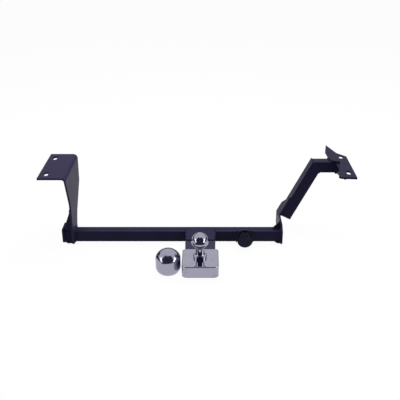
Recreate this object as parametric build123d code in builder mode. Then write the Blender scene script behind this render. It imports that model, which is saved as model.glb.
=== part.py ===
from build123d import *
import os
from math import asin, atan2, cos, degrees, hypot, pi, radians, sin, tan

# Bolt-on tow hitch, in millimetres. The origin is the centre of the tow ball.
# X points to the right, Y to the front of the car and Z up. The hitch stands on its own feet.

os.makedirs("parts", exist_ok=True)

# General plate and running clearances
plate = 6
slip_fit = 0.25
running_fit = 0.05
seat_gap = 0.3

# Tow ball
ball_diameter = 50
ball_flat_diameter = 12
ball_seat_depth = 53
neck_diameter = 26
neck_blend = 5
collar_diameter = 40
collar_height = 9
collar_across_flats = 36
shank_diameter = 20
shank_end_chamfer = 1.5
washer_outer_diameter = 34
washer_thickness = 4
washer_split = 2.5
nut_across_flats = 30
nut_height = 18

# Square tube of the frame
tube_size = 36
tube_wall = 2.5
tube_corner = 4
tube_front_y = 160
stub_length = 23.5
arm_left_x = -399.5
arm_right_x = 253
foot_drop = 6
foot_overhang = 10
foot_corner = 8

# Chrome cover over the end of the tongue
cover_width = 107
cover_centre_x = 1
cover_back_room = 6
cover_front_y = 48
cover_height = 36
cover_sheet = 2
cover_back_corner = 16
cover_front_corner = 9
cover_top_edge = 3

# Tongue between the cross tube and the ball
tongue_plate = 10
tongue_width = 90
tongue_root_width = 95
tongue_back_y = -50
tongue_corner = 14
tongue_wall_inset = 2
saddle_plate = 3
saddle_width = 88
saddle_on_tongue = 56
saddle_on_tube = 28

# Bolt flanges on top
flange_top_z = 145.5
bolt_slot_width = 13
bolt_slot_length = 28
bolt_spacing = 130

# Left arm, its heights measured from the tube's top and its depths from the tube's back face
left_flange_width = 85.5
left_flange_behind = 41
left_flange_ahead = 160
left_bolt_inset = 21
left_bolt_behind = 7
bend_radius = 8
left_neck_rise = 95
left_neck_behind = 5
left_waist_rise = 113
left_waist_ahead = 152
left_knee_rise = 36
left_knee_ahead = 81
left_foot_ahead = 64
left_gusset_height = 74
left_lower_chamfer = 6
end_plate_rise = 12

# Right arm and its inclined tube, measured from the cross tube in the same way
riser_lean = 63.5
riser_depth = 44
riser_ahead = 101
riser_foot_gap = 11
riser_cap_plate = 3
arm_plate_margin = 4
arm_plate_rise = 19
arm_plate_heel_rise = 3
arm_plate_heel_run = 24
tab_margin = 3
tab_relief = 3
tab_length = 72
tab_corner_front = 38
outrigger_drop = 6
outrigger_length = 64.9
upper_gusset_width = 26
upper_gusset_height = 27
upper_gusset_ahead = 20
lower_gusset_width = 18

# Right bolt flange: each pair is the distance in from its outer edge and forward from its back edge
right_flange_behind_riser = 136
right_flange_shoulder = (0, 173)
right_flange_kink = (26, 203)
right_flange_tip = (49, 277)
right_flange_heel = (61, 217)
right_flange_on_tube = (59, 168)
right_flange_notch_inner = (51, 137)
right_flange_notch_outer = (29, 129)
right_flange_inner_side = (53, 12)
right_flange_inner_corner = (48, 4)
right_bolt_back = (18.5, 39)
flange_web_back = (36, 10)
flange_web_front = (36, 209)
flange_web_lip = 5

# Loose ball cover, standing on the ground
cap_radius = 37
cap_dome_rise = 30
cap_shoulder_radius = 20
cap_side_height = 25
cap_turn_in = 24
cap_shell = 2
cap_mouth_clearance = 0.5
cap_gap_to_cover = 4
cap_centre_y = -6
cap_liner_lip_height = 6
cap_liner_grip = 1
cap_liner_clearance = 0.5

# Electrical socket
socket_x = 138.5
socket_drop = 10.6
socket_flange_radius = 27
socket_flange_thickness = 4
socket_barrel_radius = 19.5
socket_barrel_wall = 2.5
socket_barrel_length = 15.5
socket_spigot_radius = 15
socket_spigot_wall = 2
socket_spigot_reach = 1.5
bracket_plate = 3
bracket_stand_off = 12
bracket_lug_height = 24
bracket_top_rise = 21
gasket_thickness = 1.5
insert_face = 4
contact_count = 6
contact_circle_radius = 9
contact_radius = 2.4
contact_bore_radius = 1.4
contact_back_reach = 2.5
socket_screw_count = 3
socket_screw_diameter = 3.5
socket_screw_head_diameter = 6
socket_screw_head_height = 2.4
socket_screw_end = 1.2
socket_slot_width = 1
socket_slot_depth = 1.2
socket_nut_across_flats = 6
socket_nut_height = 2.8
boot_wall = 2.4
boot_gap = 1
spout_radius = 5
spout_bore_radius = 3.5
spout_length = 25
lid_overhang = 2
lid_thickness = 3.4
lid_dome = 1.2
lid_lip_radius = 24
lid_lip_thickness = 2.4
seal_inset = 0.3
seal_width = 2
seal_depth = 1.4
seal_proud = 0.4
hinge_above_barrel = 4.5
hinge_pin_diameter = 3
hinge_knuckle_radius = 2.9
hinge_knuckle_width = 4.2
hinge_spring_gap = 5.2
hinge_ear_thickness = 3
hinge_side_gap = 0.2
hinge_pin_head_radius = 2.4
hinge_pin_head_height = 1
spring_wire_diameter = 0.8
spring_full_turns = 2
spring_pitch = 1.4
spring_leg = 9
spring_lid_leg = 3.4

# Heights and places worked out from the sizes above
cover_top_z = -ball_seat_depth
tube_top_z = cover_top_z - cover_sheet
tube_centre_z = tube_top_z - tube_size / 2
tube_bottom_z = tube_top_z - tube_size
tube_centre_y = tube_front_y + tube_size / 2
stand_z = tube_bottom_z - foot_drop
foot_back_y = tube_front_y - foot_overhang
foot_front_y = tube_front_y + tube_size + foot_overhang
arm_left_outer_x = arm_left_x - plate
stub_end_x = arm_left_outer_x - stub_length
tongue_plate_bottom_z = tube_top_z - tongue_plate


def finish(builder, name):
    """Labels a finished piece and writes it to its own file."""
    builder.part.label = name
    export_step(builder.part, f"parts/{name}.step")


def across(y):
    """Plane that faces the back at depth y, with X to the right and Z up."""
    return Plane.XZ.offset(-y)


def along(x):
    """Plane that faces right at x, with Y to the right and Z up."""
    return Plane.YZ.offset(x)


def draw_tube_section():
    """Hollow square section with rounded corners, drawn in the sketch that is open."""
    RectangleRounded(tube_size, tube_size, tube_corner)
    bore = tube_size - 2 * tube_wall
    RectangleRounded(bore, bore, tube_corner - tube_wall, mode=Mode.SUBTRACT)


# Cross tube
with BuildPart() as cross_tube:
    with BuildSketch(Plane((stub_end_x, tube_centre_y, tube_centre_z), (0, 1, 0), (1, 0, 0))):
        draw_tube_section()
    extrude(amount=arm_right_x - stub_end_x)
finish(cross_tube, "cross_tube")

# Left arm: the flange, the bend and the tapered web are one plate with a window for the tube
left_flange_outer_x = arm_left_x - left_flange_width
left_flange_back_y = tube_front_y - left_flange_behind
left_flange_front_y = tube_front_y + left_flange_ahead
left_bolt_x = left_flange_outer_x + left_bolt_inset
left_bolt_back_y = tube_front_y - left_bolt_behind
with BuildPart() as left_arm:
    with BuildSketch(across(left_flange_back_y)) as arm_section:
        with Locations((left_flange_outer_x, flange_top_z)):
            Rectangle(arm_left_x - left_flange_outer_x, plate, align=(Align.MIN, Align.MAX))
        with Locations((arm_left_x, flange_top_z)):
            Rectangle(plate, flange_top_z - stand_z, align=(Align.MAX, Align.MAX))
        outer_bend = arm_section.vertices().sort_by_distance((arm_left_x, flange_top_z))[:1]
        fillet(outer_bend, bend_radius + plate)
        inner_bend = arm_section.vertices().sort_by_distance((arm_left_outer_x, flange_top_z - plate))[:1]
        fillet(inner_bend, bend_radius)
    extrude(amount=left_flange_back_y - left_flange_front_y)
    with BuildSketch(along(left_flange_outer_x)) as arm_outline:
        Polygon(
            (left_flange_back_y, flange_top_z),
            (left_flange_front_y, flange_top_z),
            (left_flange_front_y, flange_top_z - bend_radius - plate),
            (tube_front_y + left_waist_ahead, tube_top_z + left_waist_rise),
            (tube_front_y + left_knee_ahead, tube_top_z + left_knee_rise),
            (tube_front_y + left_foot_ahead, tube_top_z),
            (tube_front_y + left_foot_ahead, stand_z),
            (foot_back_y, stand_z),
            (foot_back_y, tube_top_z),
            (tube_front_y - left_neck_behind, tube_top_z + left_neck_rise),
            (left_flange_back_y, flange_top_z - bend_radius - plate),
            align=None,
        )
        fillet(arm_outline.vertices().group_by(Axis.Y)[0], foot_corner)
    extrude(amount=arm_left_x - left_flange_outer_x, mode=Mode.INTERSECT)
    with BuildSketch(along(arm_left_outer_x)):
        with Locations((tube_centre_y, tube_centre_z)):
            window = tube_size + 2 * slip_fit
            RectangleRounded(window, window, tube_corner)
    extrude(amount=plate, mode=Mode.SUBTRACT)
    with BuildSketch(Plane.XY.offset(flange_top_z)):
        with Locations((left_bolt_x, left_bolt_back_y), (left_bolt_x, left_bolt_back_y + bolt_spacing)):
            SlotOverall(bolt_slot_length, bolt_slot_width, rotation=90)
    extrude(amount=-plate, mode=Mode.SUBTRACT)
finish(left_arm, "left_arm")

# Plate that closes the left end of the tube
with BuildPart() as left_end_plate:
    with BuildSketch(along(stub_end_x)):
        with Locations(((foot_back_y + foot_front_y) / 2, tube_bottom_z)):
            end_height = tube_size + end_plate_rise
            end_align = (Align.CENTER, Align.MIN)
            RectangleRounded(foot_front_y - foot_back_y, end_height, foot_corner, align=end_align)
    extrude(amount=-plate)
finish(left_end_plate, "left_end_plate")

# Triangular gusset between the stub of the tube and the left arm
with BuildPart() as left_gusset:
    with BuildSketch(across(tube_front_y)):
        Polygon(
            (stub_end_x, tube_top_z),
            (arm_left_outer_x, tube_top_z),
            (arm_left_outer_x, tube_top_z + left_gusset_height),
            (stub_end_x, tube_top_z + end_plate_rise),
            align=None,
        )
    extrude(amount=-plate)
finish(left_gusset, "left_gusset")

# Short plate under the stub of the tube, which stands on the ground beside the left arm's foot
with BuildPart() as left_lower_gusset:
    with BuildSketch(across(tube_front_y)):
        Polygon(
            (stub_end_x, tube_bottom_z),
            (arm_left_outer_x, tube_bottom_z),
            (arm_left_outer_x, stand_z),
            (stub_end_x + left_lower_chamfer, stand_z),
            align=None,
        )
    extrude(amount=-plate)
finish(left_lower_gusset, "left_lower_gusset")

# Inclined tube and the level tube that leads from it to the right flange, mitred where they meet
# The inclined tube is deeper, and a strip closes its end behind the level one
riser_dir = (cos(radians(riser_lean)), 0, sin(radians(riser_lean)))
riser_side = (sin(radians(riser_lean)), 0, -cos(radians(riser_lean)))
riser_back_y = tube_front_y + riser_ahead
riser_centre_y = riser_back_y + riser_depth / 2
outrigger_centre_y = riser_back_y + tube_size / 2
arm_right_outer_x = arm_right_x + plate
bend_z = tube_top_z
outrigger_centre_z = flange_top_z - outrigger_drop - tube_size / 2


def draw_riser_section():
    """Hollow oblong section of the inclined tube, drawn in the sketch that is open."""
    RectangleRounded(riser_depth, tube_size, tube_corner)
    bore = 2 * tube_wall
    RectangleRounded(riser_depth - bore, tube_size - bore, tube_corner - tube_wall, mode=Mode.SUBTRACT)


def riser_point(up, sideways):
    """Point in the plane of the lean, measured from the bend of the right arm plate."""
    return (
        arm_right_outer_x + up * riser_dir[0] + sideways * riser_side[0],
        riser_centre_y,
        bend_z + up * riser_dir[2] + sideways * riser_side[2],
    )


riser_foot = riser_point(riser_foot_gap, tube_size / 2)
riser_length = (outrigger_centre_z - riser_foot[2]) / riser_dir[2]
mitre_x = riser_foot[0] + riser_length * riser_dir[0]
mitre_tilt = radians(riser_lean / 2)
mitre_centre = (mitre_x, outrigger_centre_y, outrigger_centre_z)
mitre_plane = Plane(mitre_centre, (0, 1, 0), (cos(mitre_tilt), 0, sin(mitre_tilt)))
flange_web_x = mitre_x + outrigger_length
right_flange_outer_x = flange_web_x + flange_web_back[0]

with BuildPart() as right_riser_tube:
    with BuildSketch(Plane(riser_foot, (0, 1, 0), riser_dir)):
        draw_riser_section()
    extrude(amount=riser_length + tube_size)
    split(bisect_by=mitre_plane, keep=Keep.BOTTOM)
    with BuildSketch(mitre_plane):
        with Locations((tube_size / 2 - tube_wall, 0)):
            strip_width = riser_depth - tube_size + tube_wall / 2
            strip_height = (tube_size - tube_wall) / cos(mitre_tilt)
            Rectangle(strip_width, strip_height, align=(Align.MIN, Align.CENTER))
    extrude(amount=-tube_wall)
finish(right_riser_tube, "right_riser_tube")

with BuildPart() as right_outrigger_tube:
    outrigger_end = (flange_web_x, outrigger_centre_y, outrigger_centre_z)
    with BuildSketch(Plane(outrigger_end, (0, 1, 0), (-1, 0, 0))):
        draw_tube_section()
    extrude(amount=flange_web_x - mitre_x + tube_size)
    split(bisect_by=mitre_plane, keep=Keep.TOP)
finish(right_outrigger_tube, "right_outrigger_tube")

# Plate that closes the foot of the inclined tube
with BuildPart() as right_riser_cap:
    with BuildSketch(Plane(riser_foot, (0, 1, 0), riser_dir)):
        RectangleRounded(riser_depth, tube_size, tube_corner)
    extrude(amount=-riser_cap_plate)
finish(right_riser_cap, "right_riser_cap")

# Right arm plate: upright beside the tube's end, with a tab that leans out along the inclined tube
arm_plate_front_y = riser_back_y + riser_depth + arm_plate_margin
tab_back_y = riser_back_y - tab_margin
arm_plate_top_z = tube_top_z + arm_plate_rise
with BuildPart() as right_arm_plate:
    with BuildSketch(along(arm_right_x)) as plate_outline:
        Polygon(
            (foot_back_y, stand_z),
            (arm_plate_front_y, stand_z),
            (arm_plate_front_y, bend_z),
            (tab_back_y - tab_relief, bend_z),
            (tab_back_y - tab_relief, arm_plate_top_z),
            (foot_back_y + arm_plate_heel_run, arm_plate_top_z),
            (foot_back_y, tube_top_z + arm_plate_heel_rise),
            align=None,
        )
        fillet(plate_outline.vertices().group_by(Axis.Y)[0], foot_corner)
    extrude(amount=plate)
    with BuildSketch(across(tab_back_y)) as tab_section:
        Polygon(
            (arm_right_x, bend_z),
            (arm_right_outer_x, bend_z),
            (arm_right_outer_x + tab_length * riser_dir[0], bend_z + tab_length * riser_dir[2]),
            (
                arm_right_outer_x + tab_length * riser_dir[0] - plate * riser_side[0],
                bend_z + tab_length * riser_dir[2] - plate * riser_side[2],
            ),
            (arm_right_x, bend_z + plate * tan(mitre_tilt / 2)),
            align=None,
        )
    extrude(amount=tab_back_y - arm_plate_front_y)
    top_face = right_arm_plate.faces().sort_by_distance(riser_point(tab_length, -plate / 2))[0]
    tab_corners = top_face.edges().filter_by(Axis.Y, reverse=True).sort_by(Axis.Y)
    chamfer(tab_corners[-1], tab_corner_front)
finish(right_arm_plate, "right_arm_plate")

# Small gussets on the inner side of the right arm plate, above and below the tube
with BuildPart() as right_upper_gusset:
    with BuildSketch(across(tube_front_y + upper_gusset_ahead)):
        Polygon(
            (arm_right_x, tube_top_z),
            (arm_right_x, tube_top_z + upper_gusset_height),
            (arm_right_x - upper_gusset_width, tube_top_z),
            align=None,
        )
    extrude(amount=-plate)
finish(right_upper_gusset, "right_upper_gusset")

with BuildPart() as right_lower_gusset:
    with BuildSketch(across(tube_front_y)):
        Polygon(
            (arm_right_x, tube_bottom_z),
            (arm_right_x, stand_z),
            (arm_right_x - lower_gusset_width / 2, stand_z),
            (arm_right_x - lower_gusset_width, tube_bottom_z),
            align=None,
        )
    extrude(amount=-plate)
finish(right_lower_gusset, "right_lower_gusset")

# Right bolt flange: a flat plate that lies on the outrigger tube and on the web
right_flange_back_y = riser_back_y - right_flange_behind_riser
flange_under_z = flange_top_z - plate


def on_right_flange(inward_and_forward):
    """Place on the right flange, from its distances in from the outer edge and forward from the back."""
    inward, forward = inward_and_forward
    return (right_flange_outer_x - inward, right_flange_back_y + forward)


right_bolt_x, right_bolt_back_y = on_right_flange(right_bolt_back)
with BuildPart() as right_flange:
    with BuildSketch(Plane.XY.offset(flange_top_z)):
        Polygon(
            (right_flange_outer_x, right_flange_back_y),
            on_right_flange(right_flange_shoulder),
            on_right_flange(right_flange_kink),
            on_right_flange(right_flange_tip),
            on_right_flange(right_flange_heel),
            on_right_flange(right_flange_on_tube),
            on_right_flange(right_flange_notch_inner),
            on_right_flange(right_flange_notch_outer),
            on_right_flange(right_flange_inner_side),
            on_right_flange(right_flange_inner_corner),
            align=None,
        )
        with Locations((right_bolt_x, right_bolt_back_y), (right_bolt_x, right_bolt_back_y + bolt_spacing)):
            SlotOverall(bolt_slot_length, bolt_slot_width, rotation=90, mode=Mode.SUBTRACT)
    extrude(amount=-plate)
finish(right_flange, "right_flange")

# Upright web under the right flange, which also closes the end of the outrigger tube
outrigger_bottom_z = outrigger_centre_z - tube_size / 2
flange_web_back_y = on_right_flange(flange_web_back)[1]
flange_web_front_y = on_right_flange(flange_web_front)[1]
with BuildPart() as right_flange_web:
    with BuildSketch(along(flange_web_x)):
        Polygon(
            (flange_web_back_y, flange_under_z),
            (flange_web_back_y, flange_under_z - flange_web_lip),
            (riser_back_y - plate, outrigger_bottom_z),
            (riser_back_y + tube_size + plate, outrigger_bottom_z),
            (flange_web_front_y, flange_under_z - flange_web_lip),
            (flange_web_front_y, flange_under_z),
            align=None,
        )
    extrude(amount=plate)
finish(right_flange_web, "right_flange_web")

# Tongue: a thick top plate with the hole for the ball, two upright walls and a saddle over the joint
with BuildPart() as tongue_top_plate:
    with BuildSketch(Plane.XY.offset(tube_top_z)) as tongue_outline:
        Polygon(
            (-tongue_width / 2, tongue_back_y),
            (tongue_width / 2, tongue_back_y),
            (tongue_width / 2, cover_front_y),
            (tongue_root_width / 2, tube_front_y),
            (-tongue_root_width / 2, tube_front_y),
            (-tongue_width / 2, cover_front_y),
            align=None,
        )
        fillet(tongue_outline.vertices().group_by(Axis.Y)[0], tongue_corner)
        Circle(shank_diameter / 2 + slip_fit, mode=Mode.SUBTRACT)
    extrude(amount=-tongue_plate)
finish(tongue_top_plate, "tongue_top_plate")

wall_outer_x = tongue_width / 2 - tongue_wall_inset
wall_back_y = tongue_back_y + tongue_corner
with BuildPart() as tongue_side_plates:
    with BuildSketch(Plane.XY.offset(tongue_plate_bottom_z)):
        with Locations((wall_outer_x - plate, wall_back_y), (-wall_outer_x, wall_back_y)):
            Rectangle(plate, tube_front_y - wall_back_y, align=Align.MIN)
    extrude(amount=tube_bottom_z - tongue_plate_bottom_z)
finish(tongue_side_plates, "tongue_side_plates")

with BuildPart() as tongue_saddle:
    with BuildSketch(Plane.XY.offset(tube_top_z)):
        with Locations((0, tube_front_y - saddle_on_tongue)):
            Rectangle(saddle_width, saddle_on_tongue + saddle_on_tube, align=(Align.CENTER, Align.MIN))
    extrude(amount=saddle_plate)
finish(tongue_saddle, "tongue_saddle")

# Chrome cover over the tongue's end, open below and cut away in front for the tongue
cover_back_y = tongue_back_y - cover_back_room - cover_sheet
cover_depth = cover_front_y - cover_back_y
cover_plane = Plane((cover_centre_x, (cover_back_y + cover_front_y) / 2, cover_top_z))


def draw_cover_plan(inset):
    """Plan of the cover with round corners, drawn in the sketch that is open."""
    width = cover_width / 2 - inset
    depth = cover_depth / 2 - inset
    plan = Polygon((-width, -depth), (width, -depth), (width, depth), (-width, depth), align=None)
    rounded = fillet(plan.vertices().group_by(Axis.Y)[0], cover_back_corner - inset)
    fillet(rounded.vertices().group_by(Axis.Y)[-1], cover_front_corner - inset)


with BuildPart() as end_cover:
    with BuildSketch(cover_plane):
        draw_cover_plan(0)
    extrude(amount=-cover_height)
    fillet(end_cover.edges().group_by(Axis.Z)[-1], cover_top_edge)
    with BuildSketch(cover_plane.offset(-cover_sheet)):
        draw_cover_plan(cover_sheet)
    extrude(amount=cover_sheet - cover_height, mode=Mode.SUBTRACT)
    with BuildSketch(Plane.XY.offset(tube_top_z)):
        with Locations((0, cover_front_y - cover_front_corner)):
            slot_width = tongue_width + 2 * seat_gap
            Rectangle(slot_width, cover_front_corner, align=(Align.CENTER, Align.MIN))
    extrude(amount=cover_sheet - cover_height, mode=Mode.SUBTRACT)
    with BuildSketch(Plane.XY.offset(cover_top_z)):
        Circle(shank_diameter / 2 + slip_fit)
    extrude(amount=-cover_sheet, mode=Mode.SUBTRACT)
finish(end_cover, "end_cover")

# Tow ball in one piece with its neck, collar and shank
ball_radius = ball_diameter / 2
neck_radius = neck_diameter / 2
collar_radius = collar_diameter / 2
shank_radius = shank_diameter / 2
collar_top_z = cover_top_z + collar_height
flat_radius = ball_flat_diameter / 2
flat_z = (ball_radius**2 - flat_radius**2) ** 0.5
neck_meets_ball_z = -((ball_radius**2 - neck_radius**2) ** 0.5)
with BuildPart() as tow_ball:
    with BuildSketch(Plane.XZ) as ball_profile:
        Polygon(
            (0, stand_z),
            (shank_radius - shank_end_chamfer, stand_z),
            (shank_radius, stand_z + shank_end_chamfer),
            (shank_radius, cover_top_z),
            (collar_radius, cover_top_z),
            (collar_radius, collar_top_z),
            (neck_radius, collar_top_z),
            (neck_radius, neck_meets_ball_z),
            (0, neck_meets_ball_z),
            align=None,
        )
        neck_root = ball_profile.vertices().sort_by_distance((neck_radius, collar_top_z))[:1]
        fillet(neck_root, neck_blend)
        collar_edge = ball_profile.vertices().sort_by_distance((collar_radius, collar_top_z))[:1]
        chamfer(collar_edge, shank_end_chamfer)
        Circle(ball_radius)
        with Locations((0, flat_z)):
            Rectangle(ball_diameter, ball_radius, align=(Align.CENTER, Align.MIN), mode=Mode.SUBTRACT)
        other_half = 2 * (ball_radius - stand_z)
        Rectangle(ball_diameter, other_half, align=(Align.MAX, Align.CENTER), mode=Mode.SUBTRACT)
    revolve(axis=Axis.Z)
    with BuildSketch(Plane.XY.offset(cover_top_z)):
        with Locations((0, collar_across_flats / 2)):
            Rectangle(collar_diameter, collar_radius, align=(Align.CENTER, Align.MIN))
        with Locations((0, -collar_across_flats / 2)):
            Rectangle(collar_diameter, collar_radius, align=(Align.CENTER, Align.MAX))
    extrude(amount=collar_height, mode=Mode.SUBTRACT)
finish(tow_ball, "tow_ball")

# Spring washer and nut under the tongue's top plate
nut_top_z = tongue_plate_bottom_z - washer_thickness
with BuildPart() as ball_washer:
    with BuildSketch(Plane.XY.offset(tongue_plate_bottom_z)):
        Circle(washer_outer_diameter / 2)
        Circle(shank_radius + slip_fit, mode=Mode.SUBTRACT)
        Rectangle(washer_outer_diameter, washer_split, align=(Align.MIN, Align.CENTER), mode=Mode.SUBTRACT)
    extrude(amount=-washer_thickness)
finish(ball_washer, "ball_washer")

with BuildPart() as ball_nut:
    with BuildSketch(Plane.XY.offset(nut_top_z)):
        RegularPolygon(nut_across_flats / 2, 6, major_radius=False)
        Circle(shank_radius + running_fit, mode=Mode.SUBTRACT)
    extrude(amount=-nut_height)
finish(ball_nut, "ball_nut")

# Loose ball cover: a thin shell with a domed top, turned in round its mouth, and a soft liner that
# grips the ball
cap_centre_x = cover_centre_x - cover_width / 2 - cap_gap_to_cover - cap_radius
cap_plane = Plane((cap_centre_x, cap_centre_y, stand_z), (1, 0, 0), (0, -1, 0))
cap_axis = Axis((cap_centre_x, cap_centre_y, stand_z), (0, 0, 1))
cap_bore_radius = cap_radius - cap_shell
cap_mouth_radius = ball_radius + cap_mouth_clearance
cap_turn_centre = cap_radius - cap_turn_in
cap_inner_turn = cap_turn_in - cap_shell
cap_turn_height = (cap_inner_turn**2 - (cap_mouth_radius - cap_turn_centre) ** 2) ** 0.5
cap_rim_radius = cap_turn_centre + (cap_turn_in**2 - cap_turn_height**2) ** 0.5
cap_shoulder = cap_turn_height + cap_side_height
cap_crown = cap_shoulder + cap_dome_rise
shoulder_centre = cap_radius - cap_shoulder_radius
crown_over_shoulder = cap_dome_rise - cap_shoulder_radius
crown_drop = (shoulder_centre**2 - crown_over_shoulder**2) / (2 * crown_over_shoulder)
crown_radius = cap_dome_rise + crown_drop
crown_angle = degrees(atan2(crown_drop, shoulder_centre))
with BuildPart() as ball_cover:
    with BuildSketch(cap_plane):
        with BuildLine():
            Line((cap_mouth_radius, 0), (cap_rim_radius, 0))
            Line((0, cap_crown), (0, cap_crown - cap_shell))
            for inset in (0, cap_shell):
                turn = cap_turn_in - inset
                turn_angle = degrees(asin(cap_turn_height / turn))
                CenterArc((cap_turn_centre, cap_turn_height), turn, -turn_angle, turn_angle)
                Line((cap_radius - inset, cap_turn_height), (cap_radius - inset, cap_shoulder))
                CenterArc((shoulder_centre, cap_shoulder), cap_shoulder_radius - inset, 0, crown_angle)
                CenterArc((0, cap_shoulder - crown_drop), crown_radius - inset, crown_angle, 90 - crown_angle)
        make_face()
    revolve(axis=cap_axis)
finish(ball_cover, "ball_cover")

liner_bore_radius = ball_radius + cap_liner_clearance
liner_lip_radius = ball_radius - cap_liner_grip
liner_lip_top = cap_turn_height + cap_liner_lip_height
with BuildPart() as ball_cover_liner:
    with BuildSketch(cap_plane):
        Polygon(
            (liner_lip_radius, cap_turn_height),
            (cap_bore_radius, cap_turn_height),
            (cap_bore_radius, cap_shoulder),
            (liner_bore_radius, cap_shoulder),
            (liner_bore_radius, liner_lip_top),
            (liner_lip_radius, liner_lip_top),
            align=None,
        )
    revolve(axis=cap_axis)
finish(ball_cover_liner, "ball_cover_liner")

# Bracket of the socket: a plate with two lugs folded back to the cross tube
socket_z = tube_top_z - socket_drop
bracket_back_y = tube_front_y - bracket_stand_off
bracket_front_y = bracket_back_y - bracket_plate
socket_flange_back_y = bracket_front_y - gasket_thickness
socket_flange_front_y = socket_flange_back_y - socket_flange_thickness
socket_front_y = socket_flange_front_y - socket_barrel_length
socket_spigot_end_y = bracket_back_y + socket_spigot_reach
socket_screw_radius = socket_screw_diameter / 2
socket_screw_circle_radius = (socket_flange_radius + socket_barrel_radius) / 2


def screw_places():
    """Places of the socket's screws round its axis, the first one on top."""
    return PolarLocations(socket_screw_circle_radius, socket_screw_count, start_angle=90)


def draw_screw_holes():
    """Holes for the socket's screws, cut in the sketch that is open."""
    with screw_places():
        Circle(socket_screw_radius + slip_fit, mode=Mode.SUBTRACT)


def socket_plane(y):
    """Plane on the socket's axis that faces the back at depth y."""
    return Plane((socket_x, y, socket_z), (1, 0, 0), (0, -1, 0))


with BuildPart() as socket_bracket:
    with BuildSketch(socket_plane(bracket_back_y)):
        Circle(socket_flange_radius)
        Rectangle(2 * socket_flange_radius, bracket_top_rise, align=(Align.CENTER, Align.MIN))
        Circle(socket_spigot_radius + slip_fit, mode=Mode.SUBTRACT)
        draw_screw_holes()
    extrude(amount=bracket_plate)
    with BuildSketch(socket_plane(bracket_front_y)):
        lug_rise = tube_centre_z - socket_z - bracket_lug_height / 2
        with Locations((-socket_flange_radius, lug_rise), (socket_flange_radius - bracket_plate, lug_rise)):
            Rectangle(bracket_plate, bracket_lug_height, align=Align.MIN)
    extrude(amount=bracket_front_y - tube_front_y)
finish(socket_bracket, "socket_bracket")

# Rubber gasket between the bracket and the housing
with BuildPart() as socket_gasket:
    with BuildSketch(socket_plane(bracket_front_y)):
        Circle(socket_flange_radius)
        Circle(socket_spigot_radius + slip_fit, mode=Mode.SUBTRACT)
        draw_screw_holes()
    extrude(amount=gasket_thickness)
finish(socket_gasket, "socket_gasket")

# Housing: flange, open barrel towards the back, spigot through the bracket and two ears for the lid
socket_mouth_radius = socket_barrel_radius - socket_barrel_wall
socket_spigot_bore = socket_spigot_radius - socket_spigot_wall
lid_radius = socket_barrel_radius + lid_overhang
seal_inner_radius = socket_mouth_radius + seal_inset
lid_back_y = socket_front_y - seal_proud - seat_gap
lid_front_y = lid_back_y - lid_thickness
hinge_y = (lid_back_y + lid_front_y) / 2
hinge_rise = socket_barrel_radius + hinge_above_barrel
hinge_z = socket_z + hinge_rise
hinge_pin_radius = hinge_pin_diameter / 2
knuckle_outer_x = hinge_spring_gap / 2 + hinge_knuckle_width
ear_inner_x = knuckle_outer_x + hinge_side_gap
ear_outer_x = ear_inner_x + hinge_ear_thickness
ear_radius = hinge_knuckle_radius + hinge_side_gap
barrel_top_z = socket_z + socket_barrel_radius
hinge_axis_planes = [along(socket_x + ear_inner_x), along(socket_x - ear_outer_x)]
with BuildPart() as socket_body:
    with BuildSketch(socket_plane(socket_flange_back_y)):
        Circle(socket_flange_radius)
        draw_screw_holes()
    extrude(amount=socket_flange_thickness)
    with BuildSketch(socket_plane(socket_flange_front_y)):
        Circle(socket_barrel_radius)
    extrude(amount=socket_flange_front_y - socket_front_y)
    with BuildSketch(socket_plane(socket_spigot_end_y)):
        Circle(socket_spigot_radius)
    extrude(amount=socket_spigot_end_y - socket_flange_back_y)
    with BuildSketch(*hinge_axis_planes):
        with Locations((hinge_y, hinge_z)):
            Circle(ear_radius)
        Polygon(
            (hinge_y, hinge_z + ear_radius),
            (socket_flange_front_y, barrel_top_z),
            (socket_flange_front_y, barrel_top_z - socket_barrel_wall),
            (socket_front_y, barrel_top_z - socket_barrel_wall),
            (socket_front_y, hinge_z - ear_radius / 2),
            align=None,
        )
    extrude(amount=hinge_ear_thickness)
    with BuildSketch(socket_plane(socket_front_y)):
        Circle(socket_mouth_radius)
    extrude(amount=socket_front_y - socket_flange_front_y, mode=Mode.SUBTRACT)
    with BuildSketch(socket_plane(socket_flange_front_y)):
        Circle(socket_spigot_bore)
    extrude(amount=socket_flange_front_y - socket_spigot_end_y, mode=Mode.SUBTRACT)
    with BuildSketch(along(socket_x - ear_outer_x)):
        with Locations((hinge_y, hinge_z)):
            Circle(hinge_pin_radius)
    extrude(amount=2 * ear_outer_x, mode=Mode.SUBTRACT)
finish(socket_body, "socket_body")


def draw_contact_places(radius, mode=Mode.ADD):
    """One circle for each contact, round a middle one, drawn in the sketch that is open."""
    with PolarLocations(contact_circle_radius, contact_count):
        Circle(radius, mode=mode)
    Circle(radius, mode=mode)


# Insert that carries the contacts
insert_front_y = socket_flange_front_y - insert_face
with BuildPart() as socket_insert:
    with BuildSketch(socket_plane(socket_flange_front_y)):
        Circle(socket_mouth_radius - running_fit)
        draw_contact_places(contact_radius, Mode.SUBTRACT)
    extrude(amount=insert_face)
    with BuildSketch(socket_plane(socket_spigot_end_y)):
        Circle(socket_spigot_bore - running_fit)
        draw_contact_places(contact_radius, Mode.SUBTRACT)
    extrude(amount=socket_spigot_end_y - socket_flange_front_y)
finish(socket_insert, "socket_insert")

# Brass contact sleeves, level with the insert's face
contact_back_y = socket_spigot_end_y + contact_back_reach
with BuildPart() as socket_contacts:
    with BuildSketch(socket_plane(contact_back_y)):
        draw_contact_places(contact_radius)
        draw_contact_places(contact_bore_radius, Mode.SUBTRACT)
    extrude(amount=contact_back_y - insert_front_y)
finish(socket_contacts, "socket_contacts")

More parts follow.
